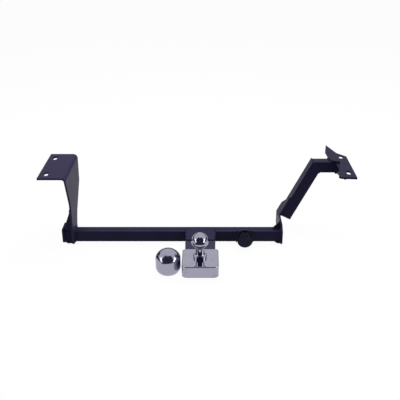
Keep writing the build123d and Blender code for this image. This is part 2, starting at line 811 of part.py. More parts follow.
# Rubber boot behind the bracket, with the inlet for a cable pointing down
boot_radius = socket_spigot_radius + boot_wall
boot_depth = bracket_stand_off - boot_gap
boot_back_y = bracket_back_y + boot_depth
spout_y = bracket_back_y + spout_radius
with BuildPart() as socket_boot:
    with BuildSketch(socket_plane(boot_back_y)):
        Circle(boot_radius)
    extrude(amount=boot_depth)
    with BuildSketch(Plane.XY.offset(socket_z - spout_length)):
        with Locations((socket_x, spout_y)):
            Circle(spout_radius)
    extrude(amount=spout_length)
    with BuildSketch(socket_plane(boot_back_y - boot_wall)):
        Circle(socket_spigot_radius)
    extrude(amount=boot_depth - boot_wall, mode=Mode.SUBTRACT)
    with BuildSketch(Plane.XY.offset(socket_z - spout_length)):
        with Locations((socket_x, spout_y)):
            Circle(spout_bore_radius)
    extrude(amount=spout_length, mode=Mode.SUBTRACT)
finish(socket_boot, "socket_boot")

# Slotted screws through the flange and the nuts behind the bracket
socket_nut_end_y = bracket_back_y + socket_nut_height
with BuildPart() as socket_screws:
    with BuildSketch(socket_plane(socket_flange_front_y)):
        with screw_places():
            Circle(socket_screw_head_diameter / 2)
    extrude(amount=socket_screw_head_height)
    fillet(socket_screws.edges().group_by(Axis.Y)[0], socket_slot_depth / 2)
    with BuildSketch(socket_plane(socket_flange_front_y)):
        with screw_places():
            Circle(socket_screw_radius)
    extrude(amount=socket_flange_front_y - socket_nut_end_y - socket_screw_end)
    with BuildSketch(socket_plane(socket_flange_front_y - socket_screw_head_height)):
        with screw_places():
            Rectangle(socket_slot_width, socket_screw_head_diameter)
    extrude(amount=-socket_slot_depth, mode=Mode.SUBTRACT)
finish(socket_screws, "socket_screws")

with BuildPart() as socket_nuts:
    with BuildSketch(socket_plane(bracket_back_y)):
        with screw_places():
            RegularPolygon(socket_nut_across_flats / 2, 6, major_radius=False)
            Circle(socket_screw_radius, mode=Mode.SUBTRACT)
    extrude(amount=-socket_nut_height)
finish(socket_nuts, "socket_nuts")

# Spring lid, with two knuckles on the hinge pin, a finger lip round its lower half and a groove for
# its seal
with BuildPart() as socket_lid:
    with BuildSketch(socket_plane(lid_back_y)):
        Circle(lid_radius)
    extrude(amount=lid_thickness)
    with BuildSketch(socket_plane(lid_front_y)):
        Circle(seal_inner_radius)
    extrude(amount=lid_dome, taper=45)
    with BuildSketch(socket_plane(lid_back_y)):
        Rectangle(2 * knuckle_outer_x, hinge_rise, align=(Align.CENTER, Align.MIN))
    extrude(amount=lid_thickness)
    with BuildSketch(along(socket_x - knuckle_outer_x)):
        with Locations((hinge_y, hinge_z)):
            Circle(hinge_knuckle_radius)
    extrude(amount=2 * knuckle_outer_x)
    with BuildSketch(socket_plane(lid_front_y + lid_lip_thickness)):
        Circle(lid_lip_radius)
        Circle(seal_inner_radius, mode=Mode.SUBTRACT)
        Rectangle(2 * lid_lip_radius, lid_lip_radius, align=(Align.CENTER, Align.MIN), mode=Mode.SUBTRACT)
    extrude(amount=lid_lip_thickness)
    with BuildSketch(along(socket_x - hinge_spring_gap / 2)):
        with Locations((hinge_y, hinge_z)):
            spring_room = 2 * (hinge_z - barrel_top_z)
            Rectangle(2 * hinge_knuckle_radius, spring_room)
    extrude(amount=hinge_spring_gap, mode=Mode.SUBTRACT)
    with BuildSketch(along(socket_x - knuckle_outer_x)):
        with Locations((hinge_y, hinge_z)):
            Circle(hinge_pin_radius + running_fit)
    extrude(amount=2 * knuckle_outer_x, mode=Mode.SUBTRACT)
    with BuildSketch(socket_plane(lid_back_y)):
        Circle(seal_inner_radius + seal_width)
        Circle(seal_inner_radius, mode=Mode.SUBTRACT)
    extrude(amount=seal_depth, mode=Mode.SUBTRACT)
finish(socket_lid, "socket_lid")

with BuildPart() as socket_lid_seal:
    with BuildSketch(socket_plane(lid_back_y + seal_proud)):
        Circle(seal_inner_radius + seal_width)
        Circle(seal_inner_radius, mode=Mode.SUBTRACT)
    extrude(amount=seal_depth + seal_proud)
finish(socket_lid_seal, "socket_lid_seal")

# Hinge pin with a head at one end
with BuildPart() as socket_hinge_pin:
    with BuildSketch(along(socket_x - ear_outer_x)):
        with Locations((hinge_y, hinge_z)):
            Circle(hinge_pin_radius)
    extrude(amount=2 * ear_outer_x)
    with BuildSketch(along(socket_x + ear_outer_x)):
        with Locations((hinge_y, hinge_z)):
            Circle(hinge_pin_head_radius)
    extrude(amount=hinge_pin_head_height)
finish(socket_hinge_pin, "socket_hinge_pin")

# Torsion spring round the pin: one unbroken wire, from a short leg in the lid's slot to a long leg
# that rests on top of the barrel
spring_wire_radius = spring_wire_diameter / 2
spring_radius = hinge_pin_radius + slip_fit + spring_wire_radius
leg_drop = hinge_z - barrel_top_z - spring_wire_radius
leg_tilt = atan2(spring_radius, spring_leg) + asin(leg_drop / hypot(spring_leg, spring_radius))
coil_angle = 2 * pi * spring_full_turns + pi / 2 + leg_tilt
coil_climb = spring_pitch / (2 * pi)
quarter_turns = round(coil_angle / (pi / 2))


def coil_point(angle):
    """Point of the coil at an angle that starts in front of the pin and goes over its top."""
    return Vector(
        socket_x + coil_climb * (angle - coil_angle / 2),
        hinge_y - spring_radius * cos(angle),
        hinge_z + spring_radius * sin(angle),
    )


def coil_heading(angle, climb):
    """Direction of the wire at that angle."""
    return Vector(climb, spring_radius * sin(angle), spring_radius * cos(angle)).normalized()


def draw_biarc(start, start_heading, end, end_heading):
    """Two arcs that lead smoothly from one point and heading to the next, in the line that is open."""
    chord = end - start
    turn = 2 * (1 - start_heading.dot(end_heading))
    along_chord = 2 * chord.dot(start_heading + end_heading)
    reach = ((along_chord**2 + 4 * turn * chord.dot(chord)) ** 0.5 - along_chord) / (2 * turn)
    first_corner = start + start_heading * reach
    second_corner = end - end_heading * reach
    middle = (first_corner + second_corner) / 2
    TangentArc(start, middle, tangent=start_heading)
    TangentArc(middle, end, tangent=middle - first_corner)


coil_stops = [coil_angle * step / quarter_turns for step in range(quarter_turns + 1)]
coil_climbs = [0] + [coil_climb] * (quarter_turns - 1) + [0]
coil_points = [coil_point(angle) for angle in coil_stops]
coil_headings = [coil_heading(angle, climb) for angle, climb in zip(coil_stops, coil_climbs)]
lid_leg_end = coil_points[0] - coil_headings[0] * spring_lid_leg
with BuildPart() as socket_spring:
    with BuildLine() as spring_line:
        Line(lid_leg_end, coil_points[0])
        for step in range(quarter_turns):
            draw_biarc(coil_points[step], coil_headings[step], coil_points[step + 1], coil_headings[step + 1])
        Line(coil_points[-1], coil_points[-1] + coil_headings[-1] * spring_leg)
    with BuildSketch(Plane(lid_leg_end, z_dir=coil_headings[0])):
        Circle(spring_wire_radius)
    sweep()
finish(socket_spring, "socket_spring")

spring_wire = spring_line.wire()
sample_step = spring_wire_diameter / 4
sample_count = round(spring_wire.length / sample_step)
spring_samples = [spring_wire.position_at(index / sample_count) for index in range(sample_count + 1)]
half_turn_samples = round(pi * spring_radius / sample_step)
least_distance = min(
    (near - far).length
    for index, near in enumerate(spring_samples)
    for far in spring_samples[index + half_turn_samples:]
)
print(f"least gap between the spring's turns {least_distance - spring_wire_diameter:.2f} mm")
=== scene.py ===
import math

import bpy
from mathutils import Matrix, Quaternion, Vector, noise


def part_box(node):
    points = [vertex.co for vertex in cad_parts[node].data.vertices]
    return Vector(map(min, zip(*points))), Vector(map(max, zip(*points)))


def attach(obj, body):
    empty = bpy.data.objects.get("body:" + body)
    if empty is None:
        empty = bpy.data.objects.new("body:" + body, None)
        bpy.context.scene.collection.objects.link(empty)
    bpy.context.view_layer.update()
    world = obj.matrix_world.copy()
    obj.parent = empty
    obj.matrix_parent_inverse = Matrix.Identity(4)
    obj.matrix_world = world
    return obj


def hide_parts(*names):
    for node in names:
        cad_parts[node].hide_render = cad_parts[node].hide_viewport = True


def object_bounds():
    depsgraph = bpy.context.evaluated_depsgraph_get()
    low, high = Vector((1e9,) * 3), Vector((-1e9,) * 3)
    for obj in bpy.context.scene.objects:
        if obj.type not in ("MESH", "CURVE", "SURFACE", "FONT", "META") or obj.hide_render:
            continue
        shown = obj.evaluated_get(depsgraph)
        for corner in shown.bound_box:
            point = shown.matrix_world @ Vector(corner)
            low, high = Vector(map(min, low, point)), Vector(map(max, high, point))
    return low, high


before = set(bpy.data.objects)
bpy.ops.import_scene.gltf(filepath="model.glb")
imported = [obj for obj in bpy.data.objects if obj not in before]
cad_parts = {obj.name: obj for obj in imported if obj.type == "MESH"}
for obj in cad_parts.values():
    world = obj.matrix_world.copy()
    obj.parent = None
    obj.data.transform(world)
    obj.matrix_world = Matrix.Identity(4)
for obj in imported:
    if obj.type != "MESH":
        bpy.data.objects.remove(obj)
cad_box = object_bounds()

# The studio. A white floor lies under the hitch, in a white surround. One wide soft lamp hangs above
# it and two tall ones lean at its sides. A dark card that lies on the floor and rises behind the
# camera, and a low one all round, give the chrome its dark reflections.


class Wire:
    """One output of a shader node. Arithmetic on wires adds Math nodes, and node() adds any other."""

    def __init__(self, tree, socket=None):
        self.tree = tree
        self.socket = socket

    def node(self, kind, settings=None, inputs=None, output=0):
        """Adds a node with those settings, then those values or links of its sockets."""
        made = self.tree.nodes.new(kind)
        for name, value in (settings or {}).items():
            setattr(made, name, value)
        for name, value in (inputs or {}).items():
            if isinstance(value, Wire):
                self.tree.links.new(value.socket, made.inputs[name])
            elif made.inputs[name].type == "RGBA":
                made.inputs[name].default_value = (*value, 1)
            else:
                made.inputs[name].default_value = value
        return Wire(self.tree, made.outputs[output] if made.outputs else None)

    def math(self, operation, *values):
        return self.node("ShaderNodeMath", {"operation": operation}, dict(enumerate(values)))

    def __add__(self, other):
        return self.math("ADD", self, other)

    def __radd__(self, other):
        return self.math("ADD", other, self)

    def __sub__(self, other):
        return self.math("SUBTRACT", self, other)

    def __rsub__(self, other):
        return self.math("SUBTRACT", other, self)

    def __mul__(self, other):
        return self.math("MULTIPLY", self, other)

    def __rmul__(self, other):
        return self.math("MULTIPLY", other, self)

    def step(self, low, high):
        """Rises smoothly from 0 at low to 1 at high."""
        ends = {"Value": self, "From Min": low, "From Max": high}
        return self.node("ShaderNodeMapRange", {"interpolation_type": "SMOOTHSTEP"}, ends)

    def tint(self, first, second):
        """A colour between two others, with this wire as the share of the second."""
        return self.node("ShaderNodeMix", {"data_type": "RGBA"}, {0: self, 6: first, 7: second}, 2)

    def mottle(self, place, scale, detail, roughness=0.5):
        """Soft noise over those places, with that many waves to a metre."""
        return self.node("ShaderNodeTexNoise", {}, {
            "Vector": place, "Scale": scale, "Detail": detail, "Roughness": roughness})

    def bump(self, strength, distance, height):
        """Normals of a surface with that relief."""
        return self.node("ShaderNodeBump", {}, {
            "Strength": strength, "Distance": distance, "Height": height})

    def coat(self, inputs):
        """Ends a material with one Principled shader that has those inputs."""
        self.node("ShaderNodeOutputMaterial", {}, {
            "Surface": self.node("ShaderNodeBsdfPrincipled", {}, inputs)})


def start_material(name):
    """A new empty material and a wire that adds nodes to it."""
    material = bpy.data.materials.new(name)
    material.use_nodes = True
    material.node_tree.nodes.clear()
    return material, Wire(material.node_tree)


sharp_from = math.radians(35)


def mesh_piece(name, points, faces, material):
    """A mesh object of those points and faces, with smooth shading between its sharp edges."""
    mesh = bpy.data.meshes.new(name)
    mesh.from_pydata(points, [], faces)
    mesh.validate()
    mesh.materials.append(material)
    mesh.shade_smooth()
    mesh.set_sharp_from_angle(angle=sharp_from)
    piece = bpy.data.objects.new(name, mesh)
    bpy.context.scene.collection.objects.link(piece)
    return piece


def seen_directly(wire):
    """1 for rays from the camera and for rays off metal or through glass, else 0."""
    camera, mirror, glass = [wire.node("ShaderNodeLightPath", output=name) for name in
                             ("Is Camera Ray", "Is Glossy Ray", "Is Transmission Ray")]
    return (camera + mirror + glass).step(0, 1)


floor_level = cad_box[0].z
floor_reach = 8
floor_whiteness = 0.96
floor_grey, floor_white = (0.55, 0.55, 0.55), (0.96, 0.96, 0.96)
white = (1, 1, 1)
floor_paint, wire = start_material("studio_floor")
seen = seen_directly(wire)
matt = wire.node("ShaderNodeBsdfDiffuse", {}, {"Color": seen.tint(floor_grey, floor_white)})
glow = wire.node("ShaderNodeEmission", {}, {"Color": white, "Strength": 1})
surface = wire.node("ShaderNodeMixShader", {}, {0: seen * floor_whiteness, 1: matt, 2: glow})
wire.node("ShaderNodeOutputMaterial", {}, {"Surface": surface})
floor_corners = [(x, y, floor_level) for x, y in
                 ((-floor_reach, -floor_reach), (floor_reach, -floor_reach),
                  (floor_reach, floor_reach), (-floor_reach, floor_reach))]
floor = mesh_piece("studio_floor", floor_corners, [(0, 1, 2, 3)], floor_paint)

surround_strength = 0.32
surround = bpy.data.worlds.new("surround")
surround.use_nodes = True
surround.node_tree.nodes.clear()
wire = Wire(surround.node_tree)
dim = wire.node("ShaderNodeBackground", {}, {"Color": white, "Strength": surround_strength})
bright = wire.node("ShaderNodeBackground", {}, {"Color": white, "Strength": 1})
surface = wire.node("ShaderNodeMixShader", {}, {0: seen_directly(wire), 1: dim, 2: bright})
wire.node("ShaderNodeOutputWorld", {}, {"Surface": surface})
bpy.context.scene.world = surround

card_distance = 3.4
card_start = 0.2
card_lift = 0.0005
card_columns = 24
card_tone = (0.045, 0.05, 0.085)
card_paint, wire = start_material("studio_card")
surface = wire.node("ShaderNodeEmission", {}, {"Color": card_tone})
wire.node("ShaderNodeOutputMaterial", {}, {"Surface": surface})


def dark_card(name, starts, half_width, top, rows):
    """A card that only reflections see: out over the floor, then up a sphere round the hitch."""
    half_width, top = math.radians(half_width), math.radians(top)
    profile = [(start, floor_level + card_lift) for start in starts]
    profile += [(card_distance * math.cos(angle), floor_level + card_distance * math.sin(angle))
                for angle in (top * row / rows for row in range(1, rows + 1))]
    points = []
    for reach, height in profile:
        for column in range(card_columns + 1):
            turn = half_width * (2 * column / card_columns - 1)
            points.append((reach * math.sin(turn), -reach * math.cos(turn), height))
    faces = []
    for row in range(len(profile) - 1):
        for column in range(card_columns):
            corner = row * (card_columns + 1) + column
            faces.append((corner, corner + 1, corner + card_columns + 2, corner + card_columns + 1))
    card = mesh_piece(name, points, faces, card_paint)
    card.visible_camera = False
    card.visible_diffuse = False
    card.visible_shadow = False
    return card


dark_card("studio_card", (card_start, card_distance), half_width=62, top=72, rows=12)
dark_card("studio_horizon", (card_distance,), half_width=180, top=17, rows=3)

lamp_target = Vector((0, 0.15, 0))


def soft_lamp(name, place, width, height, power, roll=0, mirrored=True):
    """A rectangular lamp that faces the middle of the hitch, and shows in the chrome if mirrored."""
    light = bpy.data.lights.new(name, "AREA")
    light.shape = "RECTANGLE"
    light.size = width
    light.size_y = height
    light.energy = power
    lamp = bpy.data.objects.new(name, light)
    bpy.context.scene.collection.objects.link(lamp)
    lamp.location = place
    lamp.visible_glossy = mirrored
    lamp.rotation_euler = (lamp_target - lamp.location).to_track_quat("-Z", "Y").to_euler()
    lamp.rotation_euler.rotate(Quaternion(lamp.location, math.radians(roll)))


soft_lamp("lamp_above", (0, 0.9, 1.9), width=2.4, height=1.5, power=44, mirrored=False)
soft_lamp("lamp_left", (-2.0, -0.95, 0.65), width=0.55, height=1.9, power=9, roll=40)
soft_lamp("lamp_right", (2.0, -0.95, 0.65), width=0.55, height=1.9, power=17, roll=-40)

camera_place = (0.0205, -1.650, 0.9105)
camera_pitch = math.radians(25.28)
view = bpy.data.cameras.new("view")
view.lens = 58.5
view.sensor_width = 36
view.shift_x = -0.0175
camera = bpy.data.objects.new("camera", view)
bpy.context.scene.collection.objects.link(camera)
camera.location = camera_place
camera.rotation_euler = (math.pi / 2 - camera_pitch, 0, 0)
bpy.context.scene.camera = camera
bpy.context.scene.view_settings.view_transform = "Standard"

# The frame: square tubes, plates, gussets and bolt flanges, cut from steel and welded together,
# then stove enamelled in a blue black. The enamel has a fine orange peel and a little dust on top.
# On the left arm and on the tongue's plates its colour is painted paler: painted light, for the
# brighter light and sheen that those plates catch.
enamel_dark, enamel_pale = Vector((0.0105, 0.0094, 0.029)), Vector((0.0135, 0.0121, 0.037))
enamel_tint = (0.80, 0.77, 1.0)
dust_tone = (0.16, 0.155, 0.19)
dust_cover = 0.10
cloud_middle = 0.5
cloud_rough, speck_rough, dust_rough = 0.16, 0.05, 0.12
cloud_relief = 2


def enamel(name, rough, painted_light=Vector((0, 0, 0))):
    """Blue-black stove enamel, rougher over a weld. The colour added to it is painted light, which makes
    a plate paler for the light and sheen it catches.
    """
    material, wire = start_material(name)
    place = wire.node("ShaderNodeTexCoord", output=3)
    cloud = wire.mottle(place, scale=14, detail=4, roughness=0.6)
    peel = wire.mottle(place, scale=420, detail=2)
    speck = wire.mottle(place, scale=900, detail=3, roughness=0.7)
    facing = wire.node("ShaderNodeNewGeometry", output=1)
    upward = wire.node("ShaderNodeSeparateXYZ", {}, {0: facing}, 2)
    dust = upward.step(0.5, 1) * cloud.step(0.4, 0.75) * speck.step(0.45, 0.7)
    # Painted light and sheen: the added colour makes the whole plate paler than the rest of the frame.
    shade = cloud.step(0.3, 0.7).tint(enamel_dark + painted_light, enamel_pale + painted_light)
    colour = (dust * dust_cover).tint(shade, dust_tone)
    roughness = (cloud - cloud_middle) * cloud_rough + speck * speck_rough + dust * dust_rough + rough
    relief = wire.bump(strength=0.35, distance=0.00006, height=peel + cloud * cloud_relief)
    wire.coat({"Base Color": colour, "Roughness": roughness, "IOR": 1.18,
               "Specular Tint": enamel_tint, "Normal": relief})
    return material


def cover_with(material, *names):
    """Gives that material to every slot of those pieces of the frame."""
    for name in names:
        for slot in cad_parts[name].material_slots:
            slot.material = material


frame_pieces = ("cross_tube", "left_arm", "left_end_plate", "left_gusset", "left_lower_gusset",
                "right_arm_plate", "right_upper_gusset", "right_lower_gusset", "right_riser_tube",
                "right_riser_cap", "right_outrigger_tube", "right_flange", "right_flange_web",
                "tongue_top_plate", "tongue_side_plates", "tongue_saddle", "socket_bracket")
cover_with(enamel("frame_enamel", rough=0.40), *frame_pieces)
# Painted light: the left arm, the tongue's top plate and the saddle get paler copies of the enamel, for
# the brighter light and sheen they catch.
cover_with(enamel("left_arm_lit_enamel", rough=0.46, painted_light=Vector((0.010, 0.008, 0.017))), "left_arm")
cover_with(enamel("tongue_lit_enamel", rough=0.40, painted_light=Vector((0.022, 0.022, 0.034))), "tongue_top_plate")
cover_with(enamel("saddle_lit_enamel", rough=0.40, painted_light=Vector((0.003, 0.002, 0.009))), "tongue_saddle")
edge_round = 0.0007
edge_segments = 2
edge_from = math.radians(40)
flat_within = math.radians(0.5)
joined_within = 0.00001


def ease_edges(*names):
    """Rounds the sharp edges of those pieces a little, as grinding and enamel leave them."""
    for name in names:
        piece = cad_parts[name]
        merge = piece.modifiers.new("joined", "WELD")
        merge.merge_threshold = joined_within
        plain = piece.modifiers.new("plain_faces", "DECIMATE")
        plain.decimate_type = "DISSOLVE"
        plain.angle_limit = flat_within
        bevel = piece.modifiers.new("eased_edges", "BEVEL")
        bevel.width = edge_round
        bevel.segments = edge_segments
        bevel.limit_method = "ANGLE"
        bevel.angle_limit = edge_from
        even = piece.modifiers.new("even_shading", "WEIGHTED_NORMAL")
        even.keep_sharp = True


ease_edges(*frame_pieces)

# Weld beads. Each joint of the frame is run round with the rippled bead that hand welding leaves:
# a rounded fillet in the corner of two faces, or a low seam where two tubes meet.
weld_enamel = enamel("weld_enamel", rough=0.46)
bead_leg, small_leg, lean_leg, thin_leg, thinnest_leg = 0.005, 0.004, 0.0035, 0.003, 0.0025
bead_width_steps = 8
bead_root = 0.0006
bead_throat = 0.0009
bead_least_arch = 0.14
bead_end_share = 0.25
unevenness, uneven_scale = 0.10, 140
ripple_pitch = 0.0021
ripple_steps = 5
ripple_height = 0.00028
ripple_bow = 0.55
fewest_ripples = 8


def bead(stops, leg, closed=False):
    """Points and faces of a bead. A stop is (corner, way along one face, along the other, out)."""
    spans = list(zip(stops, stops[1:] + stops[:1] if closed else stops[1:]))
    lengths = [(after[0] - before[0]).length for before, after in spans]
    whole = sum(lengths)
    count = max(fewest_ripples, round(whole / ripple_pitch)) * ripple_steps
    points = []
    for index in range(count if closed else count + 1):
        travel = whole * index / count
        step = 0
        while step < len(spans) - 1 and travel > lengths[step]:
            travel -= lengths[step]
            step += 1
        before, after = spans[step]
        passed = min(travel / lengths[step], 1) if lengths[step] else 0
        corner, one, other, out = (a.lerp(b, passed) for a, b in zip(before, after))
        near_end = 1 if closed else min(1, min(index, count - index) * whole / count / leg)
        size = leg * (bead_end_share + (1 - bead_end_share) * (1 - (1 - near_end) ** 2) ** 0.5)
        size *= 1 + unevenness * noise.noise(corner * uneven_scale)
        rise = max(bead_throat - size * out.dot(one + other) / 2, bead_least_arch * size)
        points.append(corner - out * bead_root)
        for across in range(bead_width_steps + 1):
            share = across / bead_width_steps
            arch = 4 * share * (1 - share)
            phase = (index / ripple_steps - ripple_bow * arch) % 1
            crest = rise * arch + ripple_height * arch * (1 - phase) ** 2
            points.append(corner + size * (one * (1 - share) + other * share) + out * crest)
    ring_points = bead_width_steps + 2
    rings = len(points) // ring_points
    faces = []
    for index in range(rings if closed else rings - 1):
        here, there = index * ring_points, (index + 1) % rings * ring_points
        for side in range(ring_points):
            after = (side + 1) % ring_points
            faces.append((here + side, here + after, there + after, there + side))
    if not closed:
        faces.append(tuple(range(ring_points)))
        faces.append(tuple(range((rings - 1) * ring_points, rings * ring_points)))
    return points, faces


def weld(name, *beads):
    """One piece made of several beads, which rides with the hitch."""
    points, faces = [], []
    for bead_points, bead_faces in beads:
        start = len(points)
        points += bead_points
        faces += [tuple(start + corner for corner in face) for face in bead_faces]
    piece = mesh_piece(name, points, faces, weld_enamel)
    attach(piece, "hitch")


right, forward, up = Vector((1, 0, 0)), Vector((0, 1, 0)), Vector((0, 0, 1))
tube_low, tube_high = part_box("cross_tube")
half_tube = (tube_high.z - tube_low.z) / 2
tube_corner = 0.004
corner_steps = 5


def tube_outline(centre, first, second, stretch=1, half_depth=half_tube):
    """Places round a tube with rounded corners and the outward direction at each of them."""
    outline = []
    for quarter in range(4):
        for step in range(corner_steps + 1):
            angle = (quarter + step / corner_steps) * math.pi / 2
            signs = ((1, 1), (-1, 1), (-1, -1), (1, -1))[quarter]
            side = signs[0] * (half_depth - tube_corner) + tube_corner * math.cos(angle)
            rise = (signs[1] * (half_tube - tube_corner) + tube_corner * math.sin(angle)) * stretch
            outward = (first * math.cos(angle) + second * math.sin(angle)).normalized()
            outline.append((centre + first * side + second * rise, outward))
    return outline


def ring(centre, first, second, away, leg=bead_leg):
    """Bead round a square tube where it meets a plate. away points along the tube, off the plate."""
    stops = [(place, outward, away, (outward + away).normalized())
             for place, outward in tube_outline(centre, first, second)]
    return bead(stops, leg, closed=True)


def run(start, end, one, other, leg=bead_leg):
    """Straight bead in the corner of two faces, from start to end."""
    out = (one + other).normalized()
    stops = [(Vector(start), one, other, out), (Vector(end), one, other, out)]
    return bead(stops, leg)


# Left arm's welds: the tube passes through the arm's window and is welded on both sides of it, and
# so are the end plate and the gussets between them, above and below the tube.
tube_centre = (tube_low + tube_high) / 2
arm_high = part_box("left_arm")[1]
end_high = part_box("left_end_plate")[1]
gusset_low, gusset_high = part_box("left_gusset")
under_low, under_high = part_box("left_lower_gusset")
gusset_inset = Vector((0, 0.0015, 0))
lean_rise, lean_run = 0.6, 0.8
lean_up = (up * lean_rise - forward * lean_run).normalized()
lean_down = (-up * lean_rise - forward * lean_run).normalized()


def at_tube(x):
    """Centre of the cross tube at that x."""
    return Vector((x, tube_centre.y, tube_centre.z))


weld("left_arm_welds",
     ring(at_tube(arm_high.x), forward, up, right),
     ring(at_tube(gusset_high.x), forward, up, -right),
     ring(at_tube(end_high.x), forward, up, right, small_leg),
     run((gusset_low.x, gusset_high.y, gusset_low.z), (gusset_high.x, gusset_high.y, gusset_low.z),
         forward, up),
     run((gusset_high.x, gusset_high.y, gusset_low.z), (gusset_high.x, gusset_high.y, gusset_high.z),
         forward, -right),
     run((under_low.x, under_high.y, under_high.z), (under_high.x, under_high.y, under_high.z),
         forward, -up, small_leg),
     run(gusset_low + gusset_inset, Vector((gusset_high.x, gusset_low.y, gusset_low.z)) + gusset_inset,
         lean_up, lean_down, lean_leg))

# Right arm's welds: the tube's end on the arm plate with its two gussets, and the inclined tube on
# the tab of that plate, with a bead down each side of it and one over the tab's top.
plate_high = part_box("right_arm_plate")[1]
upper_low, upper_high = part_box("right_upper_gusset")
lower_low, lower_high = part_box("right_lower_gusset")
riser_low, riser_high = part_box("right_riser_tube")
riser_lean = math.radians(63.5)
riser_way = Vector((math.cos(riser_lean), 0, math.sin(riser_lean)))
riser_side = Vector((math.sin(riser_lean), 0, -math.cos(riser_lean)))
riser_foot_rise = 0.011
riser_centre_y = (riser_low.y + riser_high.y) / 2
plate_thickness = 0.006
tab_bend = Vector((upper_high.x + plate_thickness, 0, tube_high.z))


def on_tab(rise, y):
    """Place on the tab's outer face, at that distance up from the bend."""
    place = tab_bend + riser_way * rise
    return Vector((place.x, y, place.z))


tab_top, tab_corner_run = 0.072, 0.038
tab_turn_y = plate_high.y - tab_corner_run
tab_side_top = tab_top - (riser_high.y - tab_turn_y)
tab_edge_stops = [(place, riser_way, -riser_side, (riser_way - riser_side).normalized()) for place in
                  (on_tab(tab_top, riser_low.y + tube_corner), on_tab(tab_top, tab_turn_y),
                   on_tab(tab_side_top, riser_high.y - tube_corner))]
right_arm_beads = [
    ring(at_tube(tube_high.x), forward, up, -right),
    run((lower_low.x, lower_high.y, lower_high.z), lower_high, forward, -up, small_leg),
    run((lower_high.x, lower_high.y, lower_low.z), lower_high, forward, -right, small_leg),
    run(on_tab(riser_foot_rise, riser_low.y), on_tab(tab_top, riser_low.y),
        -forward, riser_side, thin_leg),
    run(on_tab(riser_foot_rise, riser_high.y), on_tab(tab_side_top, riser_high.y),
        forward, riser_side, thin_leg),
    bead(tab_edge_stops, small_leg),
]
for y, away in ((upper_low.y, -forward), (upper_high.y, forward)):
    root = (upper_high.x, y, upper_low.z)
    right_arm_beads.append(run((upper_low.x + small_leg, y, upper_low.z), root, away, up, small_leg))
    right_arm_beads.append(run(root, (upper_high.x, y, upper_high.z), away, -right, small_leg))
weld("right_arm_welds", *right_arm_beads)

# Welds of the inclined tube's closed foot, of its mitre with the outrigger tube, and of the right
# flange, whose plate lies on the outrigger and on the upright web.
outrigger_low, outrigger_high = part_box("right_outrigger_tube")
web_low, web_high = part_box("right_flange_web")
flange_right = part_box("right_flange")[1].x
outrigger_centre = (outrigger_low + outrigger_high) / 2
riser_foot = on_tab(riser_foot_rise, riser_centre_y) + riser_side * half_tube
mitre_travel = (outrigger_centre.z - riser_foot.z) / riser_way.z
mitre_x = riser_foot.x + riser_way.x * mitre_travel
mitre_centre = Vector((mitre_x, outrigger_centre.y, outrigger_centre.z))
mitre_up = Vector((-math.sin(riser_lean / 2), 0, math.cos(riser_lean / 2)))
mitre_stops = [(place, -riser_way, right, outward) for place, outward in
               tube_outline(mitre_centre, forward, mitre_up, 1 / math.cos(riser_lean / 2))]
foot_stops = [(place, riser_way, -riser_way, outward) for place, outward in
              tube_outline(riser_foot, forward, riser_side, 1, (riser_high.y - riser_low.y) / 2)]
back_reach, front_reach = 0.051, 0.059
flange_edge_back = (flange_right - back_reach, outrigger_low.y, outrigger_high.z)
flange_edge_front = (flange_right - front_reach, outrigger_high.y, outrigger_high.z)
web_gap, end_gap = 0.006, 0.002
weld("right_flange_welds",
     bead(mitre_stops, small_leg, closed=True),
     bead(foot_stops, thinnest_leg, closed=True),
     ring(Vector((web_low.x, outrigger_centre.y, outrigger_centre.z)), forward, up, -right),
     run(flange_edge_back, flange_edge_front, -right, up, small_leg),
     run((web_high.x, web_low.y + end_gap, web_high.z), (web_high.x, web_high.y - end_gap, web_high.z),
         right, -up, small_leg),
     run((web_low.x, web_low.y + end_gap, web_high.z),
         (web_low.x, outrigger_low.y - web_gap, web_high.z), -right, -up, small_leg),
     run((web_low.x, outrigger_high.y + web_gap, web_high.z),
         (web_low.x, web_high.y - end_gap, web_high.z), -right, -up, small_leg))

# Welds of the tongue: round the saddle plate that laps over the joint, under the top plate where it
# meets the cross tube, and along the inside of both walls. The socket's bracket has one at each lug.
saddle_low, saddle_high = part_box("tongue_saddle")
wall_low, wall_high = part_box("tongue_side_plates")
bracket_low, bracket_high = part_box("socket_bracket")
bracket_bead_half = 0.011
end_inset = 0.001
wall_start, wall_stop = 0.004, 0.005
tip = Vector((end_inset, 0, 0))
tongue_beads = [
    run(saddle_low + tip, Vector((saddle_high.x, saddle_low.y, saddle_low.z)) - tip,
        -forward, up, thin_leg),
    run(Vector((wall_low.x, wall_high.y, wall_high.z)) + tip, wall_high - tip, -forward, -up),
]
bracket_beads = []
for side, saddle_x, wall_x, bracket_x in ((1, saddle_high.x, wall_high.x, bracket_high.x),
                                          (-1, saddle_low.x, wall_low.x, bracket_low.x)):
    inner_x = wall_x - side * plate_thickness
    tongue_beads += [
        run((saddle_x, saddle_low.y + end_inset, saddle_low.z),
            (saddle_x, saddle_high.y - end_inset, saddle_low.z), side * right, up, thinnest_leg),
        run((wall_x, wall_high.y, wall_low.z + end_inset), (wall_x, wall_high.y, wall_high.z - end_inset),
            side * right, -forward, small_leg),
        run((inner_x, wall_low.y + wall_start, wall_high.z),
            (inner_x, wall_high.y - wall_stop, wall_high.z), -side * right, -up, small_leg),
    ]
    bracket_beads.append(
        run((bracket_x, bracket_high.y, tube_centre.z - bracket_bead_half),
            (bracket_x, bracket_high.y, tube_centre.z + bracket_bead_half),
            side * right, -forward, thin_leg))
weld("tongue_welds", *tongue_beads)
weld("socket_bracket_welds", *bracket_beads)

# Chrome cover over the tongue's end, pressed from sheet and plated. The plating is bright with a
# slight waviness from the press and a film of fingerprints.
chrome_tone, smudge_tone = (0.34, 0.335, 0.425), (0.26, 0.25, 0.325)
smudge_rough = 0.14


